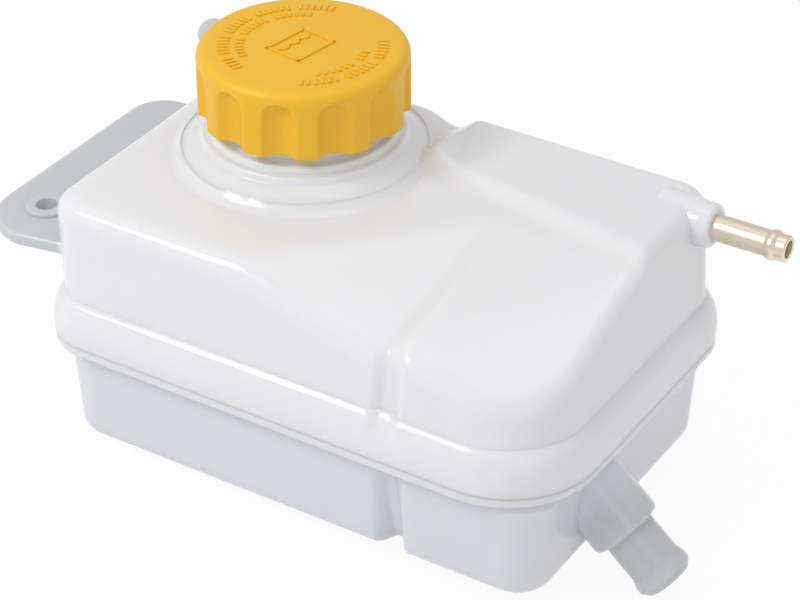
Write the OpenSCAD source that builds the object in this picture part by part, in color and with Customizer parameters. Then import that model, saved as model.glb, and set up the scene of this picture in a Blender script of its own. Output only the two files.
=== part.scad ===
// Coolant expansion tank: two welded shells of milky polypropylene, a moulded-in steel vent pipe
// and a fluted screw cap that holds a pressure and vacuum valve. Millimetres.
// Origin where the filler axis meets the plane of the tank's bottom. +X runs along the tank to
// the vent pipe, +Y to the back, +Z up.

/* [Tank body] */
// Length of the tank walls at the weld
body_len = 168; // [156:1:180]
// Depth of the tank walls at the weld, front to back
body_depth = 109; // [104:1:116]
// Distance from the left wall to the filler axis
filler_from_left = 48; // [46:1:54]
// Distance from the back wall to the filler axis
filler_from_back = 42; // [40:1:46]
// Height of the weld above the bottom
weld_z = 37.5; // [32:0.5:40]
// Height of the flat top round the filler
top_z = 82.5; // [80:0.5:92]
// Wall thickness of both shells
wall = 3; // [2.4:0.1:3.4]
// Corner radius of the two left corners, seen from above
left_corner_r = 13; // [10:1:18]
// Corner radius of the front right corner
front_right_r = 25; // [18:1:30]
// Corner radius of the back right corner
back_right_r = 13; // [10:1:20]
// Corner radius of the lower shell's front right corner, tighter than the upper shell's
low_front_right_r = 14; // [12:1:20]
// Radius along the upper edges
top_edge_r = 6; // [4:0.5:8]
// Radius along the bottom edges
bottom_edge_r = 5; // [4:0.5:8]
// How far the walls lean in over their height
draft = 1.6; // [0.8:0.2:2.4]

/* [Weld skirt] */
// How far the weld skirt stands out from the upper wall
skirt_out = 4.1; // [3:0.1:4.5]
// Height of the skirt's flare above the weld
flare_h = 14; // [10:0.5:15]
// Height of the lower shell's weld rim
rim_h = 3; // [2:0.5:4]
// Inset of the lower wall from the upper wall
lower_inset = 0.8; // [0.4:0.1:2]

/* [Top form] */
// Fall of the front facet, as a slope
facet_fall = 0.375; // [0.25:0.025:0.4]
// Distance of the facet's upper edge from the filler axis
facet_from_filler = 54.7; // [50:0.5:60]
// Place of the crease between the two chambers, from the filler axis
crease_x = 73; // [68:1:78]
// Fall of the right chamber's top beside the crease, as a slope
crease_fall = 0.2; // [0.12:0.01:0.24]
// Fall of the right chamber's top at the right end, as a slope
end_fall = 0.385; // [0.28:0.005:0.4]
// Rise of the back ridge over the flat top
ridge_rise = 4; // [2:0.5:6]
// Width of the groove between the chambers in the front wall
groove_w = 11; // [8:1:14]
// Depth of that groove in the upper wall
groove_upper = 2; // [1:0.5:3]
// Depth of that groove at the bottom
groove_lower = 6; // [3:0.5:7]

/* [Filler neck] */
// Wall of the filler neck at its thread core
neck_wall = 3.5; // [2.8:0.1:4]
// Radial room between the neck's thread core and the cap
thread_room = 2; // [1.6:0.1:2.4]
// Height of the neck's mouth above the flat top
neck_h = 25.5; // [24:0.5:28]
// Diameter of the flared foot on the flat top
foot_d = 78; // [72:1:80]

/* [Pipes] */
// Outer diameter of the steel vent pipe
vent_d = 8; // [7:0.5:9]
// Bore of the steel vent pipe
vent_bore_d = 5.4; // [4:0.2:6]
// Length of the vent pipe outside its boss
vent_out = 23; // [18:1:30]
// Depth of the vent pipe in its boss
vent_in = 18; // [12:1:20]
// Outer diameter of the coolant outlet
outlet_d = 16; // [14:0.5:18]
// Bore of the coolant outlet
outlet_bore_d = 12; // [10:0.5:12.5]
// Length of the outlet nipple beyond its collar
outlet_len = 19; // [16:1:24]
// Length of the outlet's collar outside the wall
collar_len = 17; // [14:1:20]
// How far the outlet points down, in degrees
outlet_tilt = 41; // [30:1:45]
// Outer diameter of the small return nipple
return_d = 7.8; // [7:0.2:8.4]
// Bore of the small return nipple
return_bore_d = 4.6; // [3.6:0.2:5]
// Distance of the return nipple's end from the filler axis
return_reach = 72; // [60:1:76]

/* [Mounting tab] */
// How far the tab stands out from the left wall
tab_out = 31.5; // [28:0.5:36]
// Length of the tab along the wall
tab_len = 92; // [84:1:94]
// Thickness of the tab
tab_t = 4; // [3:0.5:5]
// Height of the tab's upper face above the bottom
tab_z = 64; // [60:0.5:68]
// Diameter of the bolt hole
bolt_hole_d = 7; // [6:0.5:8.5]

/* [Cap] */
// Outer diameter of the cap
cap_d = 63.4; // [62:0.2:66]
// Height of the cap
cap_h = 21.4; // [20:0.2:24]
// Number of grip flutes
flutes = 12; // [8:1:14]
// Depth of the grip flutes
flute_depth = 2.8; // [1.8:0.1:3]
// Radius of the grip flutes
flute_r = 6.3; // [5:0.1:7]
// Thickness of the cap's top plate
cap_top_t = 2.8; // [2:0.1:3.4]
// Thickness of the flat gasket under the cap
gasket_t = 1.6; // [1:0.2:2.2]
// Gap between parts that slide or turn on each other
run_gap = 0.2; // [0.15:0.05:0.3]

/* [Valves] */
// Wire diameter of the pressure spring
spring_wire = 1.6; // [1.2:0.1:1.8]
// Turns of the pressure spring
spring_turns = 4; // [3:0.5:4.5]
// Wire diameter of the vacuum spring
small_wire = 0.7; // [0.5:0.1:0.8]
// Turns of the vacuum spring
small_turns = 4; // [3:0.5:4]

/* [Hidden] */
$fn = 72;
milky = [0.88, 0.91, 0.93];
cap_yellow = [0.97, 0.76, 0.18];
steel = [0.78, 0.74, 0.62];
black_rubber = [0.12, 0.12, 0.13];
dark_plastic = [0.25, 0.26, 0.28];

// Walls of the tank, measured from the filler axis
left_x = -filler_from_left;
right_x = body_len - filler_from_left;
front_y = filler_from_back - body_depth;
back_y = filler_from_back;
mid_y = (front_y + back_y) / 2;
half_d = body_depth / 2;
// The middle line that the upper rings of the skin close on
spine_left = left_x + half_d;
spine_right = right_x - half_d;

// Points of one ring of the skin
arc_steps = 6;
left_steps = 5;
right_steps = 3;
end_steps = 4;

// A corner that starts softly instead of at a sharp line
function soft(s, w) = s < -w ? 0 : s > w ? s : (s + w) * (s + w) / (4 * w);
function clamp(v) = min(1, max(0, v));
function ease(t) = clamp(t) * clamp(t) * (3 - 2 * clamp(t));

// Height of the outer top skin over a point of the plan
facet_dir = [0.738, -0.675];
ridge_left_x = 40;
ridge_front_y = 2;
// Depth of the hollow between the neck's foot and the ridge
ridge_dip = 2;
slope_start_y = -7;
// The two tops meet over this length, which starts this far before the crease
blend_len = 7.5;
blend_lead = 7;
function facet(x, y) =
    top_z - facet_fall * soft(facet_dir[0] * x + facet_dir[1] * y - facet_from_filler, 3);
function right_fall(x) =
    crease_fall + (end_fall - crease_fall) * clamp((x - crease_x) / (right_x - crease_x));
function right_top(x, y) = top_z - right_fall(x) * soft(slope_start_y - y, 4);
function ridge(x, y) = ridge_rise * ease((x - ridge_left_x) / 8)
    * ease((y - ridge_front_y + 0.18 * (x - crease_x)) / 7 + 0.5);
function dip(x, y) = ridge_dip * ease(1 - abs(x - ridge_left_x + 3) / 9) * ease((y - 2) / 16);
function top_skin(x, y) =
    let (t = ease((x - crease_x + blend_lead) / blend_len))
    (1 - t) * facet(x, y) + t * right_top(x, y) + ridge(x, y) - dip(x, y);

// Plan outline, moved outwards by off, with the front groove g deep
function arc(cx, cy, r, a0) =
    [for (i = [0:arc_steps]) let (a = a0 + 90 * i / arc_steps) [cx + r * cos(a), cy + r * sin(a)]];
function run(p, q, n) = [for (i = [1:n - 1]) p + (q - p) * i / n];
groove_l = crease_x - 3 - groove_w / 2;
groove_r = groove_l + groove_w;
groove_side = 0.36 * groove_w;
groove_points = [[0, 0], [groove_side / 2, 0.5], [groove_side, 1], [groove_w - groove_side, 1],
    [groove_w - groove_side / 2, 0.5], [groove_w, 0]];
function outline(off, g, front_r = front_right_r) =
    let (x0 = left_x - off, x1 = right_x + off, y0 = front_y - off, y1 = back_y + off,
        rl = max(0.5, left_corner_r + off), rf = max(0.5, front_r + off),
        rb = max(0.5, back_right_r + off))
    concat(
        arc(x0 + rl, y0 + rl, rl, 180),
        run([x0 + rl, y0], [groove_l, y0], left_steps),
        [for (p = groove_points) [groove_l + p[0], y0 + p[1] * g]],
        run([groove_r, y0], [x1 - rf, y0], right_steps),
        arc(x1 - rf, y0 + rf, rf, 270),
        run([x1, y0 + rf], [x1, y1 - rb], end_steps),
        arc(x1 - rb, y1 - rb, rb, 0),
        run([x1 - rb, y1], [groove_r, y1], right_steps),
        [[groove_r, y1], [groove_l, y1]],
        run([groove_l, y1], [x0 + rl, y1], left_steps + 1),
        arc(x0 + rl, y1 - rl, rl, 90),
        run([x0, y1 - rl], [x0, y0 + rl], end_steps));

// A wall ring, a share f of the way from the flare to the top edge
flare_z = weld_z + flare_h;
function wall_ring(f, t) = [for (p = outline(-t - draft * f, groove_upper))
    [p[0], p[1], flare_z + f * (top_skin(p[0], p[1]) - top_edge_r - flare_z)]];
// A ring of the rounded edge, at angle a from the wall
function edge_ring(a, t) =
    let (r = top_edge_r - t)
    [for (p = outline(-t - draft - r * (1 - cos(a)), groove_upper))
        [p[0], p[1], top_skin(p[0], p[1]) - top_edge_r + r * sin(a)]];
// A ring over the top, a share f of the way from the edge to the spine
function top_ring(f, t) = [for (p = outline(-draft - top_edge_r, groove_upper * (1 - f)))
    let (q = [min(spine_right, max(spine_left, p[0])), mid_y], s = p + (q - p) * f)
    [s[0], s[1], top_skin(s[0], s[1]) - t]];
function flat_ring(off, g, z) = [for (p = outline(off, g)) [p[0], p[1], z]];
function low_ring(off, g, z) = [for (p = outline(off, g, low_front_right_r)) [p[0], p[1], z]];

// Closes a stack of rings with equal counts of points; the first and last ring close on a point
module skin(rings) {
    n = len(rings[0]);
    m = len(rings);
    mean = function(r) [for (k = [0:2]) [for (p = r) p[k]] * [for (p = r) 1] / n];
    polyhedron(
        points = concat([for (r = rings) each r], [mean(rings[0]), mean(rings[m - 1])]),
        faces = concat(
            [for (j = [0:m - 2]) for (i = [0:n - 1]) each [
                [j * n + i, j * n + (i + 1) % n, (j + 1) * n + i],
                [j * n + (i + 1) % n, (j + 1) * n + (i + 1) % n, (j + 1) * n + i]]],
            [for (i = [0:n - 1]) [m * n, (i + 1) % n, i]],
            [for (i = [0:n - 1]) [m * n + 1, (m - 1) * n + i, (m - 1) * n + (i + 1) % n]]));
}

// Filler neck
mouth_z = top_z + neck_h;
cap_in_r = cap_d / 2 - flute_depth - 1.4;
neck_r = cap_in_r - thread_room;
bore_r = neck_r - neck_wall;
foot_r = foot_d / 2;
collar_r = neck_r + 3.4;
// Heights of the foot, the lower step, the collar and the thread's start over the flat top
foot_h = 4.6;
step_h = 7.4;
collar_h = 9.6;
thread_low_h = 11;
// Width of the foot's flare, and the height that a shoulder falls over its width
flare_w = 7.4;
shoulder = 0.2;

// Cap stack, from the neck's mouth up
flange_z = mouth_z + gasket_t;
flange_t = 1.8;
lip_t = 0.6;
head_t = 2.2;
plate_under_z = flange_z + flange_t + lip_t + head_t + 3 * run_gap;
cap_top_z = plate_under_z + cap_top_t;
cap_z = cap_top_z - cap_h;
head_from_bore = 9.5;
head_r = bore_r - head_from_bore;
stem_r = head_r - 2.5;

// Valve housing inside the neck
plug_r = bore_r - run_gap;
plug_len = 16;
o_ring_from_end = 6;
plug_low_z = mouth_z - plug_len;
plug_floor_t = 2;
cavity_r = plug_r - 4.7;
cavity_top_z = mouth_z - 0.5;
plate_r = cavity_r - 3.6;
seat_hole_r = plate_r * 0.667;
o_ring_r = 1.65;
o_ring_z = plug_low_z + o_ring_from_end;
o_ring_mid_r = bore_r - 0.05 - o_ring_r;
seal_t = 1.5;
seal_in_r = plate_r * 0.37;
seal_r = plate_r - 1;
plate_z = plug_low_z + plug_floor_t + seal_t;
plate_t = 1.7;
plate_top_z = plate_z + plate_t;
// The ring on the plate that keeps the pressure spring in the middle
spring_guide_r = plate_r * 0.533;
pressure_spring_r = plate_r * 0.711;
vacuum_head_r = plate_r * 0.519;
vacuum_head_t = 1.8;
stem_d = 3.2;
// Room over the plate for the vacuum spring
clip_above_plate = 4.3;
clip_z = plate_top_z + clip_above_plate;
clip_t = 1;
clip_r = 4.2;
vacuum_spring_r = 3.2;

// Vent pipe and outlet
vent_from_back = 14;
vent_y = back_y - vent_from_back;
boss_r = vent_d / 2 + 2.6;
vent_z = top_z + ridge_rise - boss_r + 0.4;
boss_end_x = right_x + 3.4;
vent_start_x = boss_end_x - vent_in;
vent_end_x = boss_end_x + vent_out;
// The moulded-in length is rolled a little thicker, so that it can't pull out
anchor_r = vent_d / 2 + 0.3;
outlet_from_front = 37;
outlet_y = front_y + outlet_from_front;
outlet_z = 22;
outlet_x = right_x - 4;
outlet_collar_r = outlet_d / 2 + 3;
return_angle = 149;
return_z = top_z + return_d / 2 + 2.6;
return_root_r = return_d / 2 + 1.4;
return_bead_r = return_d / 2 + 0.9;
// How far the outlet's bore is cut past the wall
bore_run_in = 12;

// Mounting tab
tab_front_y = front_y + 5;
tab_corner_r = 12;
tab_front_r = 17;
bolt_from_wall = 16.5;
bolt_from_front = 22;
bolt_x = left_x - bolt_from_wall;
bolt_y = front_y + bolt_from_front;

// Inner wall between the two chambers
baffle_from_crease = 12.5;
baffle_x = crease_x - baffle_from_crease;
baffle_t = 2.2;
flow_gap = 12;

// Moves what is drawn along +Z to run along the outlet
module along_outlet() {
    translate([outlet_x, outlet_y, outlet_z])
        rotate([0, 90 + outlet_tilt, 0])
            children();
}

// Moves what is drawn along +Z to run along the return nipple, out from the neck
module along_return() {
    translate([0, 0, return_z])
        rotate([0, 0, return_angle])
            rotate([0, 90, 0])
                children();
}

module upper_skin() {
    outer = concat(
        [flat_ring(skirt_out - 0.2, 0, weld_z),
            flat_ring(skirt_out, 0, weld_z + flare_h * 0.28),
            flat_ring(skirt_out * 0.92, groove_upper * 0.2, weld_z + flare_h * 0.55),
            flat_ring(skirt_out * 0.72, groove_upper * 0.4, weld_z + flare_h * 0.75),
            flat_ring(skirt_out * 0.43, groove_upper * 0.7, weld_z + flare_h * 0.9)],
        [for (f = [0, 0.5, 1]) wall_ring(f, 0)],
        [for (a = [30, 60]) edge_ring(a, 0)],
        [for (f = [0, 0.1, 0.22, 0.36, 0.5, 0.64, 0.78, 0.9]) top_ring(f, 0)]);
    inner = concat(
        [flat_ring(skirt_out - 0.2 - wall, 0, weld_z),
            flat_ring(skirt_out - wall, 0, weld_z + flare_h * 0.28),
            flat_ring(skirt_out * 0.72 - wall, groove_upper * 0.4, weld_z + flare_h * 0.75)],
        [for (f = [0, 1]) wall_ring(f, wall)],
        [edge_ring(45, wall)],
        [for (f = [0, 0.16, 0.34, 0.54, 0.74, 0.9]) top_ring(f, wall)]);
    skin(concat([for (i = [len(outer) - 1:-1:0]) outer[i]], inner));
}

// Outer form of the neck: a flared foot, two ring steps and the thread core
module neck_form() {
    rotate_extrude()
        polygon(concat(
            [[bore_r - 2, top_z - wall + 0.3], [foot_r - 3, top_z - wall + 0.3],
                [foot_r, top_z - 0.2]],
            [for (a = [80:-20:0]) [foot_r - 6 * cos(a), top_z + 3 - 3 * sin(a)]],
            [[foot_r - flare_w, top_z + foot_h], [collar_r + 2.2, top_z + foot_h + shoulder],
                [collar_r + 1.8, top_z + step_h], [collar_r, top_z + step_h + shoulder],
                [collar_r - 0.4, top_z + collar_h], [neck_r + 0.9, top_z + collar_h + shoulder],
                [neck_r, top_z + thread_low_h], [neck_r, mouth_z - 0.8], [neck_r - 0.8, mouth_z],
                [bore_r - 2, mouth_z]]));
}

// Webs across the tank beside the crease, fused into the middle of the walls, each with a gap
// at the weld or the bottom that the coolant flows through
module upper_web() {
    y0 = front_y + draft + wall / 2;
    y1 = back_y - draft - wall / 2;
    web_plate(concat([[y1, weld_z], [y0, weld_z]],
        [for (i = [0:12]) let (y = y0 + i * (y1 - y0) / 12)
            [y, top_skin(baffle_x, y) - wall / 2 - (i == 0 || i == 12 ? top_edge_r : 0)]]), weld_z);
}

module lower_web() {
    in_top = lower_inset + wall / 2;
    in_low = in_top + draft;
    edge = bottom_edge_r;
    web_plate([[front_y + in_top, weld_z - rim_h - 3], [front_y + in_low, edge],
        [front_y + in_low + edge, wall / 2], [back_y - in_low - edge, wall / 2],
        [back_y - in_low, edge], [back_y - in_top, weld_z - rim_h - 3],
        [back_y - in_top, weld_z], [front_y + in_top, weld_z]], wall / 2);
}

// A web plate of this outline, with its gap centred on height gap_z
module web_plate(points, gap_z) {
    translate([baffle_x - baffle_t / 2, 0, 0])
        rotate([90, 0, 90])
            linear_extrude(baffle_t)
                difference() {
                    polygon(points);
                    translate([mid_y, gap_z])
                        square([3 * flow_gap, 2 * flow_gap], center = true);
                }
}

module mounting_tab() {
    translate([0, 0, tab_z - tab_t])
        linear_extrude(tab_t)
            hull() {
                translate([left_x - tab_out + tab_front_r, tab_front_y + tab_front_r])
                    circle(tab_front_r, $fn = 32);
                translate([left_x - tab_out + tab_corner_r, tab_front_y + tab_len - tab_corner_r])
                    circle(tab_corner_r, $fn = 32);
                translate([left_x + 1, tab_front_y + 3])
                    square([1.2, tab_len - 3]);
            }
    // Raised rim round the bolt hole
    translate([bolt_x, bolt_y, tab_z - tab_t])
        cylinder(d = bolt_hole_d + 6, h = tab_t + 1.2);
}

module upper_shell() {
    color(milky)
        difference() {
            union() {
                upper_skin();
                neck_form();
                upper_web();
                mounting_tab();
                // Boss of the vent pipe, through the right end of the ridge
                translate([vent_start_x, vent_y, vent_z])
                    rotate([0, 90, 0])
                        cylinder(r = boss_r, h = boss_end_x - vent_start_x);
                along_return()
                    rotate_extrude()
                        polygon([[0, bore_r + 1], [return_root_r, bore_r + 1],
                            [return_root_r, foot_r - 1.4], [return_d / 2, foot_r],
                            [return_d / 2, return_reach - 6.4], [return_bead_r, return_reach - 4.4],
                            [return_bead_r, return_reach - 2.4],
                            [return_d / 2 - 0.6, return_reach], [0, return_reach]]);
            }
            translate([0, 0, top_z - wall - 6])
                cylinder(r = bore_r, h = neck_h + wall + 7);
            translate([vent_start_x - 1, vent_y, vent_z])
                rotate([0, 90, 0])
                    cylinder(r = anchor_r, h = vent_in + 2);
            along_return()
                translate([0, 0, bore_r - 2])
                    cylinder(d = return_bore_d, h = return_reach);
            translate([bolt_x, bolt_y, tab_z - tab_t - 1])
                cylinder(d = bolt_hole_d, h = tab_t + 4);
        }
}

module lower_skin() {
    rim_z = weld_z - rim_h;
    // Rings of the tray from its weld face down, t thick inside the outer form
    low_r = bottom_edge_r;
    side = function(t) [
        low_ring(-lower_inset - t, groove_lower * 0.35, rim_z - 2.5),
        low_ring(-lower_inset - draft - t, groove_lower * 0.8, low_r)];
    foot = function(t, steps) [for (a = steps)
        low_ring(-lower_inset - draft - t - (low_r - t) * (1 - cos(a)),
            groove_lower * (1 - 0.1 * a / 90), low_r - (low_r - t) * sin(a))];
    outer = concat(
        [flat_ring(skirt_out - 0.2, 0, weld_z), flat_ring(skirt_out - 0.2, 0, rim_z + 0.6),
            flat_ring(skirt_out - 0.8, 0, rim_z)],
        side(0), foot(0, [22, 45, 68, 90]));
    inner = concat(
        [flat_ring(skirt_out - 0.2 - wall, 0, weld_z), flat_ring(skirt_out - 0.5 - wall, 0, rim_z + 1)],
        side(wall), foot(wall, [30, 60, 90]),
        // A ring on the floor, inside the web's gap, that the faces close from
        [low_ring(flow_gap - half_d + 4, 0, wall)]);
    skin(concat(inner_up(inner), outer));
}
function inner_up(rings) = [for (i = [len(rings) - 1:-1:0]) rings[i]];

module lower_shell() {
    color(milky)
        difference() {
            union() {
                lower_skin();
                lower_web();
                // Collar and hose nipple of the outlet
                along_outlet()
                    rotate_extrude()
                        polygon([[0, -6], [outlet_collar_r, -6], [outlet_collar_r, collar_len - 2],
                            [outlet_collar_r - 2, collar_len], [outlet_d / 2, collar_len],
                            [outlet_d / 2, collar_len + outlet_len - 6],
                            [outlet_d / 2 + 0.8, collar_len + outlet_len - 4],
                            [outlet_d / 2 + 0.8, collar_len + outlet_len - 2.5],
                            [outlet_d / 2 - 1, collar_len + outlet_len], [0, collar_len + outlet_len]]);
            }
            along_outlet()
                translate([0, 0, -bore_run_in])
                    cylinder(d = outlet_bore_d, h = collar_len + outlet_len + 2 * bore_run_in);
        }
}

// Steel tube with a rolled bead that holds the hose
module vent_pipe() {
    r = vent_d / 2;
    l = vent_end_x - vent_start_x;
    color(steel)
        translate([vent_start_x, vent_y, vent_z])
            rotate([0, 90, 0])
                rotate_extrude()
                    polygon([[vent_bore_d / 2, 0], [anchor_r, 0], [anchor_r, vent_in], [r, vent_in],
                        [r, l - 6.5], [r + 0.6, l - 5.2],
                        [r + 0.6, l - 4.2], [r, l - 3], [r, l - 0.6], [r - 0.6, l],
                        [vent_bore_d / 2, l]]);
}

module cap_shell() {
    r = cap_d / 2;
    flute_top_z = cap_top_z - 2.2;
    color(cap_yellow)
        difference() {
            // Rounded outer form, hollow below, with the ring that traps the valve housing
            rotate_extrude()
                polygon(concat(
                    [[0, plate_under_z], [head_r + run_gap, plate_under_z],
                        [head_r + run_gap, flange_z + flange_t + run_gap + lip_t],
                        [stem_r + run_gap, flange_z + flange_t + run_gap + lip_t],
                        [stem_r + run_gap, flange_z + flange_t + run_gap],
                        [head_r + 2.8, flange_z + flange_t + run_gap],
                        [head_r + 2.8, plate_under_z], [cap_in_r, plate_under_z],
                        [cap_in_r, cap_z], [r, cap_z]],
                    [for (a = [0:22.5:90])
                        [r - 3.2 + 3.2 * cos(a), cap_top_z - 3.2 + 3.2 * sin(a)]],
                    [[0, cap_top_z]]));
            for (i = [0:flutes - 1])
                rotate([0, 0, (i + 0.5) * 360 / flutes - 55])
                    translate([r + flute_r - flute_depth, 0, cap_z - 1]) {
                        cylinder(r = flute_r, h = flute_top_z - flute_r - cap_z + 1, $fn = 36);
                        translate([0, 0, flute_top_z - flute_r - cap_z + 1])
                            sphere(r = flute_r, $fn = 36);
                    }
        }
}

// Valve housing: a plug in the neck with a flange over the mouth and a head that the cap traps
module cap_insert() {
    groove_z = o_ring_z - o_ring_r - 0.15;
    groove_r0 = o_ring_mid_r - o_ring_r - 0.05;
    color(dark_plastic)
        difference() {
            rotate_extrude()
                polygon([[seat_hole_r, plug_low_z], [plug_r - 1, plug_low_z],
                    [plug_r, plug_low_z + 1], [plug_r, groove_z], [groove_r0, groove_z],
                    [groove_r0, groove_z + 2 * o_ring_r + 0.3], [plug_r, groove_z + 2 * o_ring_r + 0.3],
                    [plug_r, flange_z], [neck_r, flange_z], [neck_r, flange_z + flange_t],
                    [stem_r, flange_z + flange_t], [stem_r, flange_z + flange_t + 2 * run_gap + lip_t],
                    [head_r, flange_z + flange_t + 2 * run_gap + lip_t],
                    [head_r, plate_under_z - run_gap], [0, plate_under_z - run_gap],
                    [0, cavity_top_z], [cavity_r, cavity_top_z],
                    [cavity_r, plug_low_z + plug_floor_t], [seat_hole_r, plug_low_z + plug_floor_t]]);
            // Holes that let steam out above the seal ring
            for (a = [0:90:270])
                rotate([0, 0, a + 45])
                    translate([0, 0, mouth_z - 3.4])
                        rotate([0, 90, 0])
                            cylinder(d = 3, h = bore_r + 4);
        }
}

module cap_gasket() {
    color(black_rubber)
        translate([0, 0, mouth_z])
            difference() {
                cylinder(r = neck_r - 0.4, h = gasket_t);
                translate([0, 0, -1])
                    cylinder(r = bore_r, h = gasket_t + 2);
            }
}

module insert_o_ring() {
    color(black_rubber)
        translate([0, 0, o_ring_z])
            rotate_extrude()
                translate([o_ring_mid_r, 0])
                    circle(o_ring_r, $fn = 36);
}

module pressure_plate() {
    color(steel)
        translate([0, 0, plate_z])
            difference() {
                union() {
                    cylinder(r = plate_r, h = plate_t);
                    cylinder(r = spring_guide_r, h = plate_t + 1.2);
                }
                translate([0, 0, plate_t])
                    cylinder(r = spring_guide_r - 1.2, h = 2);
                translate([0, 0, -1])
                    cylinder(d = stem_d + 2 * run_gap + 0.4, h = plate_t + 2);
            }
}

module pressure_seal() {
    color(black_rubber)
        translate([0, 0, plate_z - seal_t])
            difference() {
                cylinder(r = seal_r, h = seal_t);
                translate([0, 0, -1])
                    cylinder(r = seal_in_r, h = seal_t + 2);
            }
}

// Round wire wound from low to high, with its centre line on radius r
module coil(r, wire, low, high, turns, sides = 6, per_turn = 14) {
    n = round(turns * per_turn);
    z0 = low + wire / 2;
    z1 = high - wire / 2;
    centre = function(i) let (a = 360 * i / per_turn) [r * cos(a), r * sin(a), z0 + (z1 - z0) * i / n];
    ring = function(i) let (a = 360 * i / per_turn, c = centre(i))
        [for (k = [0:sides - 1]) let (b = 360 * k / sides)
            c + wire / 2 * [cos(b) * cos(a), cos(b) * sin(a), sin(b)]];
    skin([for (i = [n:-1:0]) ring(i)]);
}

module pressure_spring() {
    color(steel)
        coil(pressure_spring_r, spring_wire, plate_top_z, cavity_top_z, spring_turns);
}

module vacuum_valve() {
    color(steel)
        rotate_extrude()
            polygon([[0, plate_z - seal_t - vacuum_head_t], [vacuum_head_r, plate_z - seal_t - vacuum_head_t],
                [vacuum_head_r, plate_z - seal_t], [stem_d / 2, plate_z - seal_t],
                [stem_d / 2, clip_z + clip_t + 0.4], [stem_d / 2 - 0.4, clip_z + clip_t + 0.8],
                [0, clip_z + clip_t + 0.8]]);
}

module vacuum_clip() {
    color(steel)
        translate([0, 0, clip_z])
            difference() {
                cylinder(r = clip_r, h = clip_t);
                translate([0, 0, -1])
                    cylinder(d = stem_d, h = clip_t + 2);
            }
}

module vacuum_spring() {
    color(steel)
        coil(vacuum_spring_r, small_wire, plate_top_z, clip_z, small_turns, 6, 12);
}

upper_shell();
lower_shell();
vent_pipe();
cap_shell();
cap_insert();
cap_gasket();
insert_o_ring();
pressure_plate();
pressure_seal();
pressure_spring();
vacuum_valve();
vacuum_clip();
vacuum_spring();
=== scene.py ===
"""Looks of the coolant expansion tank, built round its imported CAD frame.

Sizes are in millimetres in the part's own frame: the origin lies where the filler axis meets the
bottom plane, +X runs to the vent pipe, +Y to the back and +Z up. MM turns them to metres.
"""

import math

import bmesh
import bpy
from mathutils import Matrix, Vector


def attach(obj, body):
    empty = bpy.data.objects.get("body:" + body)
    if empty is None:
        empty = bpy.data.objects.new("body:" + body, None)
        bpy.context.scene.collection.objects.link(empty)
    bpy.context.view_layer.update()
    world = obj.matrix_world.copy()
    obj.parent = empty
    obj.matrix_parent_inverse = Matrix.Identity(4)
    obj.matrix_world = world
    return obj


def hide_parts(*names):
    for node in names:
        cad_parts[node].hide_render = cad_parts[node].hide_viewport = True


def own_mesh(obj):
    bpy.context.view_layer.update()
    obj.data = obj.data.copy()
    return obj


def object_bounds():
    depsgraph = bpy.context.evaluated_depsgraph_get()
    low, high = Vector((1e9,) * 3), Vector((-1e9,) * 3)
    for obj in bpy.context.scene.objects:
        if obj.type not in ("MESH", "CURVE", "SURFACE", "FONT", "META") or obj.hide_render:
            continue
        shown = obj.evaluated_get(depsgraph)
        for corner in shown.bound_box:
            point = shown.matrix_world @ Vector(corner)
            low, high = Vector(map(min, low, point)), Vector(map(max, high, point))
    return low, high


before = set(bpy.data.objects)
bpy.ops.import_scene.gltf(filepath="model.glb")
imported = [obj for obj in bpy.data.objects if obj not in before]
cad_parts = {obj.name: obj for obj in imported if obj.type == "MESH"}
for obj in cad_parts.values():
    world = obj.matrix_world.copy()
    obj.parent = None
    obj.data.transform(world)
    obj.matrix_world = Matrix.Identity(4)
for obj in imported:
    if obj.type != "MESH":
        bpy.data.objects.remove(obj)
cad_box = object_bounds()

MM = 0.001

# Tank walls, measured from the filler axis
LEFT_X, RIGHT_X = -48.0, 120.0
FRONT_Y, BACK_Y = -67.0, 42.0
MID_Y = (FRONT_Y + BACK_Y) / 2
WELD_Z = 37.5
TOP_Z = 82.5
WALL = 3.0
LEFT_CORNER_R, FRONT_RIGHT_R, BACK_RIGHT_R = 13.0, 25.0, 13.0
LOW_FRONT_RIGHT_R = 14.0
TOP_EDGE_R, BOTTOM_EDGE_R = 6.0, 6.0
DRAFT = 1.6
SKIRT_OUT, FLARE_H, RIM_H, LOWER_INSET = 4.1, 14.0, 3.0, 0.8
FLARE_Z = WELD_Z + FLARE_H
RIM_Z = WELD_Z - RIM_H
SPINE_LEFT = LEFT_X + (BACK_Y - FRONT_Y) / 2
SPINE_RIGHT = RIGHT_X - (BACK_Y - FRONT_Y) / 2
# How far the left wall's upper edge stands out from the other walls' lean
LEFT_SWELL = 3.0

# Top form
FACET_FALL, FACET_FROM_FILLER = 0.375, 54.7
FACET_DIR = (0.738, -0.675)
CREASE_X, CREASE_FALL, END_FALL = 73.0, 0.2, 0.385
RIDGE_RISE, RIDGE_LEFT_X, RIDGE_FRONT_Y, RIDGE_DIP = 4.0, 32.0, 2.0, 1.0
SLOPE_START_Y = -7.0
MOUND_RISE, MOUND_R = 2.5, 50.0
GROOVE_LEFT, GROOVE_RIGHT = 64.5, 75.5
GROOVE_UPPER, GROOVE_LOWER = 2.0, 6.0

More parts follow.
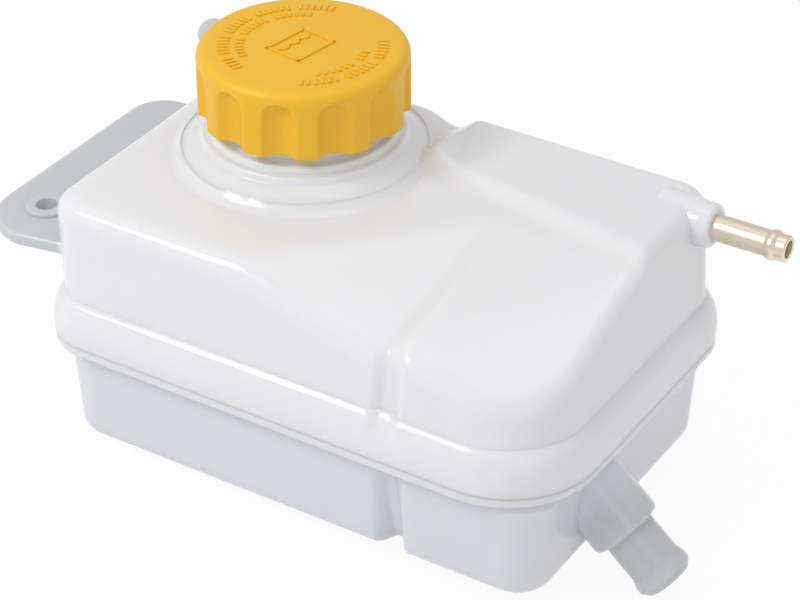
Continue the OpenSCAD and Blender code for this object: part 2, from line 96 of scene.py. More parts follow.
# Neck, pipes and tab
BORE_R, NECK_R, FOOT_R, COLLAR_R = 22.0, 25.5, 39.0, 28.9
MOUTH_Z = 108.0
THREAD_H, THREAD_LOW_Z, THREAD_TURNS, THREAD_LEAD, THREAD_START = 1.5, 96.6, 1.7, 5.0, 20
VENT_Y, VENT_Z = 28.0, 80.3
BOSS_R, BOSS_END_X, VENT_START_X, VENT_END_X = 6.6, 123.4, 105.4, 146.4
VENT_R, VENT_BORE_R, ANCHOR_R = 4.0, 2.7, 4.3
OUTLET_X, OUTLET_Y, OUTLET_Z, OUTLET_TILT = 116.0, -30.0, 22.0, 41.0
OUTLET_R, OUTLET_BORE_R, OUTLET_COLLAR_R = 8.0, 6.0, 11.0
COLLAR_LEN, OUTLET_LEN, OUTLET_TIP_X = 17.0, 19.0, 137.0
RETURN_ANGLE, RETURN_Z, RETURN_R, RETURN_BORE_R, RETURN_REACH = 149.0, 89.0, 3.9, 2.3, 72.0
TAB_Z, TAB_T, TAB_OUT, TAB_LEN = 64.0, 4.0, 31.5, 92.0
TAB_CORNER_R, TAB_FRONT_R = 12.0, 17.0
BOLT_X, BOLT_Y, BOLT_R = -64.5, -45.0, 3.5

# Cap
CAP_R, CAP_Z, CAP_TOP_Z, CAP_IN_R = 31.7, 96.2, 117.6, 27.5
CAP_UNDER_Z, FLANGE_TOP_Z, LIP_T, RUN_GAP = 114.8, 111.4, 0.6, 0.2
HEAD_R, STEM_R = 12.5, 10.0
FLUTES, FLUTE_R, FLUTE_DEPTH, FLUTE_TOP_Z = 12, 6.3, 2.8, 115.4
FLUTE_PHASE = -40.0
MARK_H, BAR_W, BAR_PITCH, WORD = 0.45, 0.9, 1.9, 7
FRAME_TURN, FRAME_W, FRAME_L = -9.0, 12.0, 15.5


# Shapes


def clamp(t):
    return min(1.0, max(0.0, t))


def ease(t):
    t = clamp(t)
    return t * t * (3 - 2 * t)


def soft(s, w):
    """Zero below the edge, s beyond it, with a soft start w wide."""
    return 0.0 if s < -w else s if s > w else (s + w) ** 2 / (4 * w)


def top_skin(x, y):
    """Height of the outer top skin over a point of the plan."""
    facet = TOP_Z - FACET_FALL * soft(FACET_DIR[0] * x + FACET_DIR[1] * y - FACET_FROM_FILLER, 3)
    share = clamp((x - CREASE_X) / (RIGHT_X - CREASE_X))
    fall = CREASE_FALL + (END_FALL - CREASE_FALL) * share
    right = TOP_Z - fall * soft(SLOPE_START_Y - y, 4)
    ridge = RIDGE_RISE * ease((x - RIDGE_LEFT_X) / 8)
    ridge *= ease((y - RIDGE_FRONT_Y + 0.18 * (x - CREASE_X)) / 7 + 0.5)
    dip = RIDGE_DIP * ease(1 - abs(x - RIDGE_LEFT_X + 3) / 9) * ease((y - 2) / 16)
    t = ease((x - CREASE_X + 7) / 7.5)
    # The back edge swells round the neck's foot
    mound = MOUND_RISE * ease((MOUND_R - math.hypot(x, y)) / 9) * ease((y + 10) / 25)
    return (1 - t) * facet + t * right + ridge - dip + mound


def spread(a, b, n):
    """n steps from a towards b, a included and b left out."""
    return [a + (b - a) * i / n for i in range(n)]


def outline_stations():
    """Points of the tank's plan: foot x and y, outward direction, corner radius and corner turn.
    A straight wall has radius 0. Front and back share their x values, so that the top closes."""
    front = spread(LEFT_X + LEFT_CORNER_R, SPINE_LEFT, 22) + spread(SPINE_LEFT, SPINE_RIGHT, 52)
    grooved = spread(SPINE_RIGHT, GROOVE_RIGHT, 14)
    stations = []

    def corner(cx, cy, r, first, steps, turn):
        for a in spread(first, first + 90, steps):
            way = (math.cos(math.radians(a)), math.sin(math.radians(a)))
            stations.append((cx, cy, way, r, turn))

    r = LEFT_CORNER_R
    corner(LEFT_X + r, FRONT_Y + r, r, 180, 22, (-1, -1))
    for x in front + grooved + spread(GROOVE_RIGHT, RIGHT_X - FRONT_RIGHT_R, 14):
        stations.append((x, FRONT_Y, (0, -1), 0, None))
    r = FRONT_RIGHT_R
    corner(RIGHT_X - r, FRONT_Y + r, r, 270, 32, (1, -1))
    for y in spread(FRONT_Y + r, BACK_Y - BACK_RIGHT_R, 34):
        stations.append((RIGHT_X, y, (1, 0), 0, None))
    r = BACK_RIGHT_R
    corner(RIGHT_X - r, BACK_Y - r, r, 0, 28, (1, 1))
    back = spread(RIGHT_X - r, GROOVE_RIGHT, 14) + spread(GROOVE_RIGHT, SPINE_RIGHT, 6)
    for x in back + spread(SPINE_RIGHT, SPINE_LEFT, 52) + spread(SPINE_LEFT, LEFT_X + LEFT_CORNER_R, 22):
        stations.append((x, BACK_Y, (0, 1), 0, None))
    r = LEFT_CORNER_R
    corner(LEFT_X + r, BACK_Y - r, r, 90, 22, (-1, 1))
    for y in spread(BACK_Y - r, FRONT_Y + r, 44):
        stations.append((LEFT_X, y, (-1, 0), 0, None))
    return stations


STATIONS = outline_stations()


def outline(off, groove, front_r=FRONT_RIGHT_R):
    """The plan outline moved outwards by off, with the front groove this deep and this radius at
    the front right corner."""
    points = []
    for x, y, way, r, turn in STATIONS:
        if turn == (1, -1):
            x, y, r = x + r - front_r, y - r + front_r, front_r
        reach = r + off
        if turn and reach < 0.5:
            x, y = x + turn[0] * (reach - 0.5), y + turn[1] * (reach - 0.5)
            reach = 0.5
        px, py = x + way[0] * reach, y + way[1] * reach
        if way == (0, -1):
            py += groove * ease(min(px - GROOVE_LEFT, GROOVE_RIGHT - px) / 4)
        points.append((px, py))
    return points


def flat_ring(off, groove, z, front_r=FRONT_RIGHT_R):
    return [(x, y, z) for x, y in outline(off, groove, front_r)]


def skirt_ring(s, t):
    """A ring of the weld skirt, a share s of the way from the weld to the wall."""
    if s < 0.28:
        share = 1 - 0.06 * ((0.28 - s) / 0.28) ** 2
    else:
        share = (1 - ((s - 0.28) / 0.72) ** 2.2) ** 0.667
    return flat_ring(SKIRT_OUT * share - t, GROOVE_UPPER * ease(s) ** 2, WELD_Z + FLARE_H * s)


def swelled(points, f):
    """Plan points moved left beside the left wall, by a share f of its swell."""
    return [(x - LEFT_SWELL * f * ease((SPINE_LEFT - x) / (SPINE_LEFT - LEFT_X)), y)
            for x, y in points]


def wall_ring(f, t):
    points = swelled(outline(-t - DRAFT * f, GROOVE_UPPER), f)
    return [(x, y, FLARE_Z + f * (top_skin(x, y) - TOP_EDGE_R - FLARE_Z)) for x, y in points]


def edge_ring(angle, t):
    r = TOP_EDGE_R - t
    a = math.radians(angle)
    points = swelled(outline(-t - DRAFT - r * (1 - math.cos(a)), GROOVE_UPPER), 1)
    return [(x, y, top_skin(x, y) - TOP_EDGE_R + r * math.sin(a)) for x, y in points]


def top_ring(f, t):
    ring = []
    for x, y in swelled(outline(-DRAFT - TOP_EDGE_R, GROOVE_UPPER * (1 - f)), 1):
        sx = x + (min(SPINE_RIGHT, max(SPINE_LEFT, x)) - x) * f
        sy = y + (MID_Y - y) * f
        ring.append((sx, sy, top_skin(sx, sy) - t))
    return ring


def finished(bm, name, material, body="tank", sharp=38):
    """Turns a bmesh into a piece that rides on a body, with edges over sharp degrees kept crisp."""
    bmesh.ops.remove_doubles(bm, verts=bm.verts, dist=0.004 * MM)
    bmesh.ops.recalc_face_normals(bm, faces=bm.faces)
    mesh = bpy.data.meshes.new(name)
    bm.to_mesh(mesh)
    bm.free()
    piece = bpy.data.objects.new(name, mesh)
    bpy.context.scene.collection.objects.link(piece)
    smooth(piece, sharp)
    mesh.materials.append(material)
    if body:
        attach(piece, body)
    return piece


def smooth(piece, sharp):
    for face in piece.data.polygons:
        face.use_smooth = True
    piece.data.set_sharp_from_angle(angle=math.radians(sharp))


def lofted(rings):
    """A bmesh grid wrapped over a stack of rings, in millimetres."""
    around, up = len(rings[0]), len(rings) - 1
    bm = bmesh.new()
    bmesh.ops.create_grid(bm, x_segments=around, y_segments=up, size=0.5)
    for v in bm.verts:
        i, j = round((v.co.x + 0.5) * around), round((v.co.y + 0.5) * up)
        v.co = Vector(rings[j][i % around]) * MM
    bmesh.ops.remove_doubles(bm, verts=bm.verts, dist=0.01 * MM)
    return bm


def rounded(corners, steps=4):
    """A profile whose corners, each (radius, height, rounding), are turned to arcs."""
    points = []
    for i, (r, z, fillet) in enumerate(corners):
        here = Vector((r, z))
        if not fillet:
            points.append((r, z))
            continue
        before, after = Vector(corners[i - 1][:2]), Vector(corners[(i + 1) % len(corners)][:2])
        a, b = (before - here).normalized(), (after - here).normalized()
        half = a.angle(b) / 2
        cut = min(fillet / math.tan(half), (before - here).length * 0.48, (after - here).length * 0.48)
        start, end = here + a * cut, here + b * cut
        for k in range(steps + 1):
            t = k / steps
            p = start * (1 - t) ** 2 + here * 2 * t * (1 - t) + end * t * t
            points.append((p.x, p.y))
    return points


def turned(profile, steps=160, closed=True):
    """A profile of (radius, height) in millimetres, spun round the Z axis."""
    bm = bmesh.new()
    verts = [bm.verts.new((r * MM, 0, z * MM)) for r, z in profile]
    pairs = list(zip(verts, verts[1:] + verts[:1])) if closed else list(zip(verts, verts[1:]))
    edges = [bm.edges.new(pair) for pair in pairs]
    bmesh.ops.spin(bm, geom=verts + edges, cent=(0, 0, 0), axis=(0, 0, 1), angle=2 * math.pi,
                   steps=steps, use_merge=True)
    bmesh.ops.remove_doubles(bm, verts=bm.verts, dist=0.004 * MM)
    return bm


def placed(bm, matrix):
    bmesh.ops.transform(bm, matrix=matrix, verts=bm.verts)
    return bm


def at(x, y, z):
    return Matrix.Translation(Vector((x, y, z)) * MM)


def helical(profile, turns, lead, start_angle, steps=90):
    """A closed profile of (radius, height) wound up round the Z axis, with closed ends."""
    bm = bmesh.new()
    verts = [bm.verts.new((r * MM, 0, z * MM)) for r, z in profile]
    face = bm.faces.new(verts)
    count = round(turns * steps)
    bmesh.ops.spin(bm, geom=[face], cent=(0, 0, 0), axis=(0, 0, 1), dvec=(0, 0, lead * MM / steps),
                   angle=2 * math.pi * turns, steps=count)
    return placed(bm, Matrix.Rotation(math.radians(start_angle), 4, "Z"))


def combined(name, base, adds, cuts, material, sharp=38):
    """One piece from a base shape, the shapes moulded onto it and the shapes cut out of it."""
    piece = finished(base, name, material)
    tools = []
    for operation, shapes in (("UNION", adds), ("DIFFERENCE", cuts)):
        for bm in shapes:
            tool = finished(bm, "tool", material, body=None)
            step = piece.modifiers.new("step", "BOOLEAN")
            step.operation, step.object, step.solver = operation, tool, "MANIFOLD"
            tools.append(tool)
    bpy.context.view_layer.update()
    made = bpy.data.meshes.new_from_object(piece.evaluated_get(bpy.context.evaluated_depsgraph_get()))
    piece.modifiers.clear()
    piece.data = made
    for tool in tools:
        bpy.data.objects.remove(tool)
    smooth(piece, sharp)
    return piece


# Materials


def linear(hex_text):
    """An sRGB colour written as six hex digits, turned to linear light."""
    values = [int(hex_text[i:i + 2], 16) / 255 for i in (0, 2, 4)]
    return tuple(v / 12.92 if v <= 0.04045 else ((v + 0.055) / 1.055) ** 2.4 for v in values) + (1,)


def add(tree, kind, inputs=None, **settings):
    """A node with these settings, its inputs set to values or linked from sockets."""
    node = tree.nodes.new(kind)
    for key, value in settings.items():
        setattr(node, key, value)
    for key, value in (inputs or {}).items():
        if isinstance(value, bpy.types.NodeSocket):
            tree.links.new(value, node.inputs[key])
        else:
            node.inputs[key].default_value = value
    return node


def new_material(name):
    material = bpy.data.materials.new(name)
    material.use_nodes = True
    material.node_tree.nodes.clear()
    return material, material.node_tree


def natural_polypropylene():
    """Natural polypropylene homopolymer, injection moulded without pigment: milky and slightly
    bluish, light goes a few millimetres in, and a polished mould leaves it satin to glossy."""
    material, tree = new_material("natural_polypropylene_moulded")
    place = add(tree, "ShaderNodeTexCoord").outputs["Object"]
    axes = add(tree, "ShaderNodeSeparateXYZ", {0: place})
    # Clouds a few centimetres wide, from walls of uneven thickness
    clouds = add(tree, "ShaderNodeTexNoise", {"Vector": place, "Scale": 28.0, "Detail": 2.0,
                                              "Roughness": 0.4})
    body = add(tree, "ShaderNodeMix", {"Factor": clouds.outputs["Fac"], "A": linear("E9EDEE"),
                                       "B": linear("EDF0F4")}, data_type="RGBA")
    # The tray below the weld is coloured a little darker and greyer
    low = add(tree, "ShaderNodeMapRange", {"Value": axes.outputs["Z"], "From Min": 0.034,
                                           "From Max": 0.040, "To Min": 1.0, "To Max": 0.0})
    tray = add(tree, "ShaderNodeMix", {"Factor": low.outputs["Result"],
                                       "A": body.outputs["Result"], "B": linear("DFE4EB")},
               data_type="RGBA")
    # Painted shade on the tab and the outlet, one thin wall over nothing: they are coloured darker where
    # less light comes back from them
    tab = add(tree, "ShaderNodeMapRange", {"Value": axes.outputs["X"], "From Min": -0.0500,
                                           "From Max": -0.0475, "To Min": 0.9, "To Max": 0.0})
    past_end = add(tree, "ShaderNodeMapRange", {"Value": axes.outputs["X"], "From Min": 0.1195,
                                                "From Max": 0.1240})
    under = add(tree, "ShaderNodeMapRange", {"Value": axes.outputs["Z"], "From Min": 0.020,
                                             "From Max": 0.030, "To Min": 0.9, "To Max": 0.0})
    outlet = add(tree, "ShaderNodeMath", {0: past_end.outputs["Result"], 1: under.outputs["Result"]},
                 operation="MULTIPLY")
    low_wall = add(tree, "ShaderNodeMapRange", {"Value": axes.outputs["Z"], "From Min": 0.0545,
                                                "From Max": 0.0575})
    tab = add(tree, "ShaderNodeMath", {0: tab.outputs["Result"], 1: low_wall.outputs["Result"]},
              operation="MULTIPLY")
    tab_top = add(tree, "ShaderNodeMapRange", {"Value": axes.outputs["Z"], "From Min": 0.068,
                                               "From Max": 0.070, "To Min": 1.0, "To Max": 0.0})
    tab = add(tree, "ShaderNodeMath", {0: tab.outputs[0], 1: tab_top.outputs["Result"]},
              operation="MULTIPLY")
    # Painted shade on the small nipple too, from the neck's foot outwards
    outwards = add(tree, "ShaderNodeMapRange", {"Value": axes.outputs["X"], "From Min": -0.058,
                                                "From Max": -0.036, "To Min": 0.9, "To Max": 0.0})
    above = add(tree, "ShaderNodeMapRange", {"Value": axes.outputs["Z"], "From Min": 0.0835,
                                             "From Max": 0.0845})
    nipple = add(tree, "ShaderNodeMath", {0: outwards.outputs["Result"],
                                          1: above.outputs["Result"]}, operation="MULTIPLY")
    painted_shade = add(tree, "ShaderNodeMath", {0: tab.outputs[0], 1: outlet.outputs[0]},
               operation="MAXIMUM")
    painted_shade = add(tree, "ShaderNodeMath", {0: painted_shade.outputs[0], 1: nipple.outputs[0]},
               operation="MAXIMUM")
    # Painted shade: the tab, outlet and nipple are mixed towards grey C4CACD
    colour = add(tree, "ShaderNodeMix", {"Factor": painted_shade.outputs[0], "A": tray.outputs["Result"],
                                         "B": linear("C4CACD")}, data_type="RGBA")
    # Orange peel about 7 mm wide and fine marks of the polished mould
    peel = add(tree, "ShaderNodeTexNoise", {"Vector": place, "Scale": 140.0, "Detail": 1.0})
    marks = add(tree, "ShaderNodeTexNoise", {"Vector": place, "Scale": 900.0, "Detail": 2.0})
    bump = add(tree, "ShaderNodeBump", {"Height": peel.outputs["Fac"], "Strength": 0.25,
                                        "Distance": 0.0003})
    bump = add(tree, "ShaderNodeBump", {"Height": marks.outputs["Fac"], "Strength": 0.08,
                                        "Distance": 0.0001, "Normal": bump.outputs["Normal"]})
    gloss = add(tree, "ShaderNodeMapRange", {"Value": clouds.outputs["Fac"], "To Min": 0.13,
                                             "To Max": 0.20})
    shader = add(tree, "ShaderNodeBsdfPrincipled",
                 {"Base Color": colour.outputs["Result"], "Roughness": gloss.outputs["Result"],
                  "IOR": 1.49, "Subsurface Weight": 0.55,
                  "Subsurface Radius": (0.9, 1.0, 1.1), "Subsurface Scale": 0.004,
                  "Normal": bump.outputs["Normal"]})
    add(tree, "ShaderNodeOutputMaterial", {"Surface": shader.outputs["BSDF"]})
    return material


def yellow_polypropylene():
    """Pigmented polypropylene of the screw cap, moulded in a fine-blasted mould: full yellow,
    satin, with a soft wide highlight."""
    material, tree = new_material("yellow_polypropylene_moulded")
    place = add(tree, "ShaderNodeTexCoord").outputs["Object"]
    flow = add(tree, "ShaderNodeTexNoise", {"Vector": place, "Scale": 45.0, "Detail": 3.0})
    tone = add(tree, "ShaderNodeMix", {"Factor": flow.outputs["Fac"], "A": linear("F4BC1E"),
                                       "B": linear("F8C228")}, data_type="RGBA")
    # Blasted mould grain, about 0.4 mm
    grain = add(tree, "ShaderNodeTexNoise", {"Vector": place, "Scale": 2400.0, "Detail": 2.0})
    bump = add(tree, "ShaderNodeBump", {"Height": grain.outputs["Fac"], "Strength": 0.12,
                                        "Distance": 0.0002})
    shader = add(tree, "ShaderNodeBsdfPrincipled",
                 {"Base Color": tone.outputs["Result"], "Roughness": 0.42, "IOR": 1.49,
                  "Subsurface Weight": 0.15, "Subsurface Radius": (1.0, 0.6, 0.2),
                  "Subsurface Scale": 0.0015, "Normal": bump.outputs["Normal"]})
    add(tree, "ShaderNodeOutputMaterial", {"Surface": shader.outputs["BSDF"]})
    return material


def passivated_zinc():
    """Steel tube, zinc plated and yellow passivated: pale straw metal whose thin film drifts to
    pink and green, slightly hazy."""
    material, tree = new_material("steel_zinc_passivated")
    place = add(tree, "ShaderNodeTexCoord").outputs["Object"]
    # Drawn tube: the film changes in bands that run along it
    bands = add(tree, "ShaderNodeMapping", {"Vector": place, "Scale": (25.0, 260.0, 260.0)})
    film = add(tree, "ShaderNodeTexNoise", {"Vector": bands.outputs["Vector"], "Scale": 1.0,
                                            "Detail": 2.0})
    tone = add(tree, "ShaderNodeValToRGB", {"Fac": film.outputs["Fac"]})
    ramp = tone.color_ramp
    ramp.elements[0].position, ramp.elements[0].color = 0.3, linear("E6E7CF")
    ramp.elements[1].position, ramp.elements[1].color = 0.7, linear("EAE3CF")
    ramp.elements.new(0.5).color = linear("F2E2D2")
    scratches = add(tree, "ShaderNodeTexNoise", {"Vector": bands.outputs["Vector"], "Scale": 6.0,
                                                 "Detail": 3.0})
    haze = add(tree, "ShaderNodeMapRange", {"Value": scratches.outputs["Fac"], "To Min": 0.28,
                                            "To Max": 0.42})
    shader = add(tree, "ShaderNodeBsdfPrincipled",
                 {"Base Color": tone.outputs["Color"], "Metallic": 0.85,
                  "Roughness": haze.outputs["Result"]})
    add(tree, "ShaderNodeOutputMaterial", {"Surface": shader.outputs["BSDF"]})
    return material


def glass_filled_nylon():
    """Glass-filled nylon of the valve housing: near black, dull, with a fine speckle."""
    material, tree = new_material("nylon_glass_filled")
    place = add(tree, "ShaderNodeTexCoord").outputs["Object"]
    speckle = add(tree, "ShaderNodeTexNoise", {"Vector": place, "Scale": 1500.0, "Detail": 3.0})
    tone = add(tree, "ShaderNodeMix", {"Factor": speckle.outputs["Fac"], "A": linear("2B2C2F"),
                                       "B": linear("3A3B3F")}, data_type="RGBA")
    bump = add(tree, "ShaderNodeBump", {"Height": speckle.outputs["Fac"], "Strength": 0.2,
                                        "Distance": 0.0001})
    shader = add(tree, "ShaderNodeBsdfPrincipled",
                 {"Base Color": tone.outputs["Result"], "Roughness": 0.5, "IOR": 1.53,
                  "Normal": bump.outputs["Normal"]})
    add(tree, "ShaderNodeOutputMaterial", {"Surface": shader.outputs["BSDF"]})
    return material


def epdm_rubber():
    """EPDM rubber of the seals, moulded: black with a faint grey bloom."""
    material, tree = new_material("rubber_epdm_moulded")
    place = add(tree, "ShaderNodeTexCoord").outputs["Object"]
    bloom = add(tree, "ShaderNodeTexNoise", {"Vector": place, "Scale": 350.0, "Detail": 3.0})
    tone = add(tree, "ShaderNodeMix", {"Factor": bloom.outputs["Fac"], "A": linear("151515"),
                                       "B": linear("2A2A29")}, data_type="RGBA")
    shader = add(tree, "ShaderNodeBsdfPrincipled",
                 {"Base Color": tone.outputs["Result"], "Roughness": 0.6, "IOR": 1.52})
    add(tree, "ShaderNodeOutputMaterial", {"Surface": shader.outputs["BSDF"]})
    return material


def stainless_steel():
    """Stainless steel of the springs and valve plates, drawn or turned: bright grey with fine
    rings left by the tool."""
    material, tree = new_material("steel_stainless_turned")
    place = add(tree, "ShaderNodeTexCoord").outputs["Object"]
    rings = add(tree, "ShaderNodeTexNoise", {"Vector": place, "Scale": 1100.0, "Detail": 2.0})
    tone = add(tree, "ShaderNodeMix", {"Factor": rings.outputs["Fac"], "A": linear("B9BBBD"),
                                       "B": linear("CBCCCB")}, data_type="RGBA")
    shine = add(tree, "ShaderNodeMapRange", {"Value": rings.outputs["Fac"], "To Min": 0.22,
                                             "To Max": 0.38})
    shader = add(tree, "ShaderNodeBsdfPrincipled",
                 {"Base Color": tone.outputs["Result"], "Metallic": 1.0,
                  "Roughness": shine.outputs["Result"]})
    add(tree, "ShaderNodeOutputMaterial", {"Surface": shader.outputs["BSDF"]})
    return material


MILKY = natural_polypropylene()
YELLOW = yellow_polypropylene()
ZINC = passivated_zinc()
NYLON = glass_filled_nylon()
RUBBER = epdm_rubber()
STAINLESS = stainless_steel()


# Upper shell


def upper_skin():
    """The closed upper skin: outside from the spine down to the weld, inside back up."""
    outer = [top_ring(f / 36, 0) for f in range(36, 0, -1)]
    outer += [edge_ring(a, 0) for a in range(90, 0, -10)]
    outer += [wall_ring(f / 12, 0) for f in range(12, 0, -1)]
    outer += [skirt_ring(s / 16, 0) for s in range(16, 0, -1)]
    outer += [skirt_ring(0.03, 0), flat_ring(SKIRT_OUT - 0.5, 0, WELD_Z)]
    inner = [flat_ring(SKIRT_OUT - 0.2 - WALL, 0, WELD_Z)]
    inner += [skirt_ring(s, WALL) for s in (0.3, 0.6)]
    inner += [wall_ring(f / 6, WALL) for f in range(0, 7)]
    inner += [edge_ring(a, WALL) for a in (30, 60)]
    inner += [top_ring(f / 12, WALL) for f in range(0, 13)]
    return lofted(outer + inner)


def neck():
    """Flared foot, two ring steps, the collar and the thread core."""
    foot = [(FOOT_R + 2.5 - 3.3 * t, TOP_Z - 0.05 + 2.0 * t ** 1.6) for t in spread(0, 1, 10)]
    steps = rounded([(FOOT_R - 1.0, TOP_Z + 2.2, 1.2), (FOOT_R - 3.4, TOP_Z + 3.1, 1.2),
                     (FOOT_R - 4.8, TOP_Z + 4.1, 1.0), (COLLAR_R + 2.8, TOP_Z + 5.5, 1.2),
                     (COLLAR_R + 1.8, TOP_Z + 7.4, 0.8), (COLLAR_R, TOP_Z + 7.7, 0.4),
                     (COLLAR_R - 0.4, TOP_Z + 9.7, 0.8), (NECK_R + 0.9, TOP_Z + 9.9, 0.5),
                     (NECK_R, TOP_Z + 11, 0.6), (NECK_R, MOUTH_Z, 0.8), (BORE_R - 1, MOUTH_Z, 0)])
    return turned([(BORE_R - 1, TOP_Z - WALL + 0.4), (FOOT_R + 2.5, TOP_Z - WALL + 0.4)]
                  + foot + steps, 192)


def build_neck_thread():
    """The screw thread on the neck, moulded with the upper shell."""
    crest, root, low = NECK_R + THREAD_H, NECK_R - 0.6, THREAD_LOW_Z
    profile = [(root, low), (crest, low + 0.9), (crest, low + 1.5), (root, low + 2.4)]
    thread = finished(helical(profile, THREAD_TURNS, THREAD_LEAD, THREAD_START), "neck_thread", MILKY)


def tab_plate():
    """The side plate, with rounded corners and softened edges."""
    bm = bmesh.new()
    front, outer = FRONT_Y + 5, LEFT_X - TAB_OUT
    points = [(LEFT_X + 2, front + 3)]
    for r, cy, turns in ((TAB_FRONT_R, front + TAB_FRONT_R, range(270, 179, -6)),
                         (TAB_CORNER_R, front + TAB_LEN - TAB_CORNER_R, range(180, 89, -9))):
        for a in turns:
            a = math.radians(a)
            points.append((outer + r + r * math.cos(a), cy + r * math.sin(a)))
    points.append((LEFT_X + 2, front + TAB_LEN))
    verts = [bm.verts.new((x * MM, y * MM, (TAB_Z - TAB_T) * MM)) for x, y in points]
    face = bm.faces.new(verts)
    raised = bmesh.ops.extrude_face_region(bm, geom=[face])
    lifted = [v for v in raised["geom"] if isinstance(v, bmesh.types.BMVert)]
    bmesh.ops.translate(bm, verts=lifted, vec=(0, 0, TAB_T * MM))
    bmesh.ops.recalc_face_normals(bm, faces=bm.faces)
    rims = [e for e in bm.edges if abs(e.verts[0].co.z - e.verts[1].co.z) < 1e-6]
    bmesh.ops.bevel(bm, geom=rims, offset=0.9 * MM, segments=4, profile=0.5, affect="EDGES",
                    material=-1, clamp_overlap=True)
    return bm


def return_nipple():
    """Small hose nipple that leaves the neck's foot towards the back."""
    profile = rounded([(0, BORE_R + 1, 0), (RETURN_R + 1.5, BORE_R + 1, 0),
                       (RETURN_R + 1.4, FOOT_R - 1.4, 1.2), (RETURN_R, FOOT_R, 0.8),
                       (RETURN_R, RETURN_REACH - 6.4, 0.8),
                       (RETURN_R + 0.9, RETURN_REACH - 4.2, 0.7),
                       (RETURN_R + 0.9, RETURN_REACH - 2.2, 0.7),
                       (RETURN_R - 0.6, RETURN_REACH, 0.6), (0, RETURN_REACH, 0)])
    return placed(turned(profile, 48), along_return())


def along_return():
    return (at(0, 0, RETURN_Z) @ Matrix.Rotation(math.radians(RETURN_ANGLE), 4, "Z")
            @ Matrix.Rotation(math.radians(90), 4, "Y"))


def along_vent():
    return at(VENT_START_X, VENT_Y, VENT_Z) @ Matrix.Rotation(math.radians(90), 4, "Y")


def along_outlet():
    return (at(OUTLET_X, OUTLET_Y, OUTLET_Z)
            @ Matrix.Rotation(math.radians(90 + OUTLET_TILT), 4, "Y"))


def rod(r, low, high, steps=64):
    return turned([(0, low), (r, low), (r, high), (0, high)], steps)


def build_upper_shell():
    boss_len = BOSS_END_X - VENT_START_X
    boss = rounded([(0, 0, 0), (BOSS_R + 0.6, 0, 1), (BOSS_R + 0.3, boss_len - 4, 2),
                    (BOSS_R, boss_len, 1.6), (ANCHOR_R - 1, boss_len, 0), (0, boss_len, 0)])
    rim = rounded([(0, TAB_Z - TAB_T - 0.6, 0), (BOLT_R + 3, TAB_Z - TAB_T - 0.6, 0.5),
                   (BOLT_R + 3, TAB_Z + 1.2, 0.6), (0, TAB_Z + 1.2, 0)])
    piece = combined(
        "upper_shell_skin", upper_skin(),
        [neck(), tab_plate(), placed(turned(rim, 64), at(BOLT_X, BOLT_Y, 0)),
         placed(turned(boss, 64), along_vent()), return_nipple()],
        [rod(BORE_R, TOP_Z - WALL - 8, MOUTH_Z + 2, 128),
         placed(rod(ANCHOR_R, -2, boss_len + 2), along_vent()),
         placed(rod(RETURN_BORE_R, BORE_R - 2, RETURN_REACH + 2, 32), along_return()),
         placed(rod(BOLT_R, TAB_Z - 8, TAB_Z + 4, 48), at(BOLT_X, BOLT_Y, 0))],
        MILKY)
    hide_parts("upper_shell")


# Lower shell


def lower_skin():
    """The closed tray: outside from the bottom up to the weld, inside back down."""
    low_r = BOTTOM_EDGE_R

    def foot(t, a):
        a = math.radians(a)
        return flat_ring(-LOWER_INSET - DRAFT - t - (low_r - t) * (1 - math.cos(a)),
                         GROOVE_LOWER * (1 - 0.1 * math.degrees(a) / 90),
                         low_r - (low_r - t) * math.sin(a), LOW_FRONT_RIGHT_R)

    def side(t, s):
        z = RIM_Z - 2.5 + (low_r - RIM_Z + 2.5) * s
        return flat_ring(-LOWER_INSET - t - DRAFT * s, GROOVE_LOWER * (0.35 + 0.45 * s), z,
                         LOW_FRONT_RIGHT_R)

    def floor(f, z):
        ring = []
        for x, y in outline(-LOWER_INSET - DRAFT - low_r, GROOVE_LOWER * 0.9 * (1 - f), LOW_FRONT_RIGHT_R):
            ring.append((x + (min(SPINE_RIGHT, max(SPINE_LEFT, x)) - x) * f, y + (MID_Y - y) * f, z))
        return ring

    outer = [floor(f, 0) for f in (1, 0.7, 0.4, 0.15)]
    outer += [foot(0, a) for a in range(90, 0, -9)]
    outer += [side(0, s / 10) for s in range(10, -1, -1)]
    # Underside of the rim, swept in to the wall
    for k in range(1, 9):
        a = math.radians(90 * k / 9)
        outer.append(flat_ring(-LOWER_INSET + (SKIRT_OUT + LOWER_INSET - 1.2) * (1 - math.cos(a)) * 0.96,
                               GROOVE_LOWER * 0.35 * (1 - k / 9) ** 2, RIM_Z - 2.5 + 2.2 * math.sin(a),
                               LOW_FRONT_RIGHT_R + (FRONT_RIGHT_R - LOW_FRONT_RIGHT_R) * k / 9))
    outer += [flat_ring(SKIRT_OUT - 0.9, 0, RIM_Z + 0.05), flat_ring(SKIRT_OUT - 0.45, 0, RIM_Z + 0.3),
              flat_ring(SKIRT_OUT - 0.22, 0, RIM_Z + 0.9), flat_ring(SKIRT_OUT - 0.2, 0, WELD_Z - 0.4),
              flat_ring(SKIRT_OUT - 0.5, 0, WELD_Z)]
    inner = [flat_ring(SKIRT_OUT - 0.2 - WALL, 0, WELD_Z), flat_ring(SKIRT_OUT - 0.5 - WALL, 0, RIM_Z + 1)]
    inner += [side(WALL, s / 4) for s in range(0, 5)]
    inner += [foot(WALL, a) for a in (30, 60, 90)]
    inner += [floor(f, WALL) for f in (0.3, 0.7, 1)]
    return lofted(outer + inner)


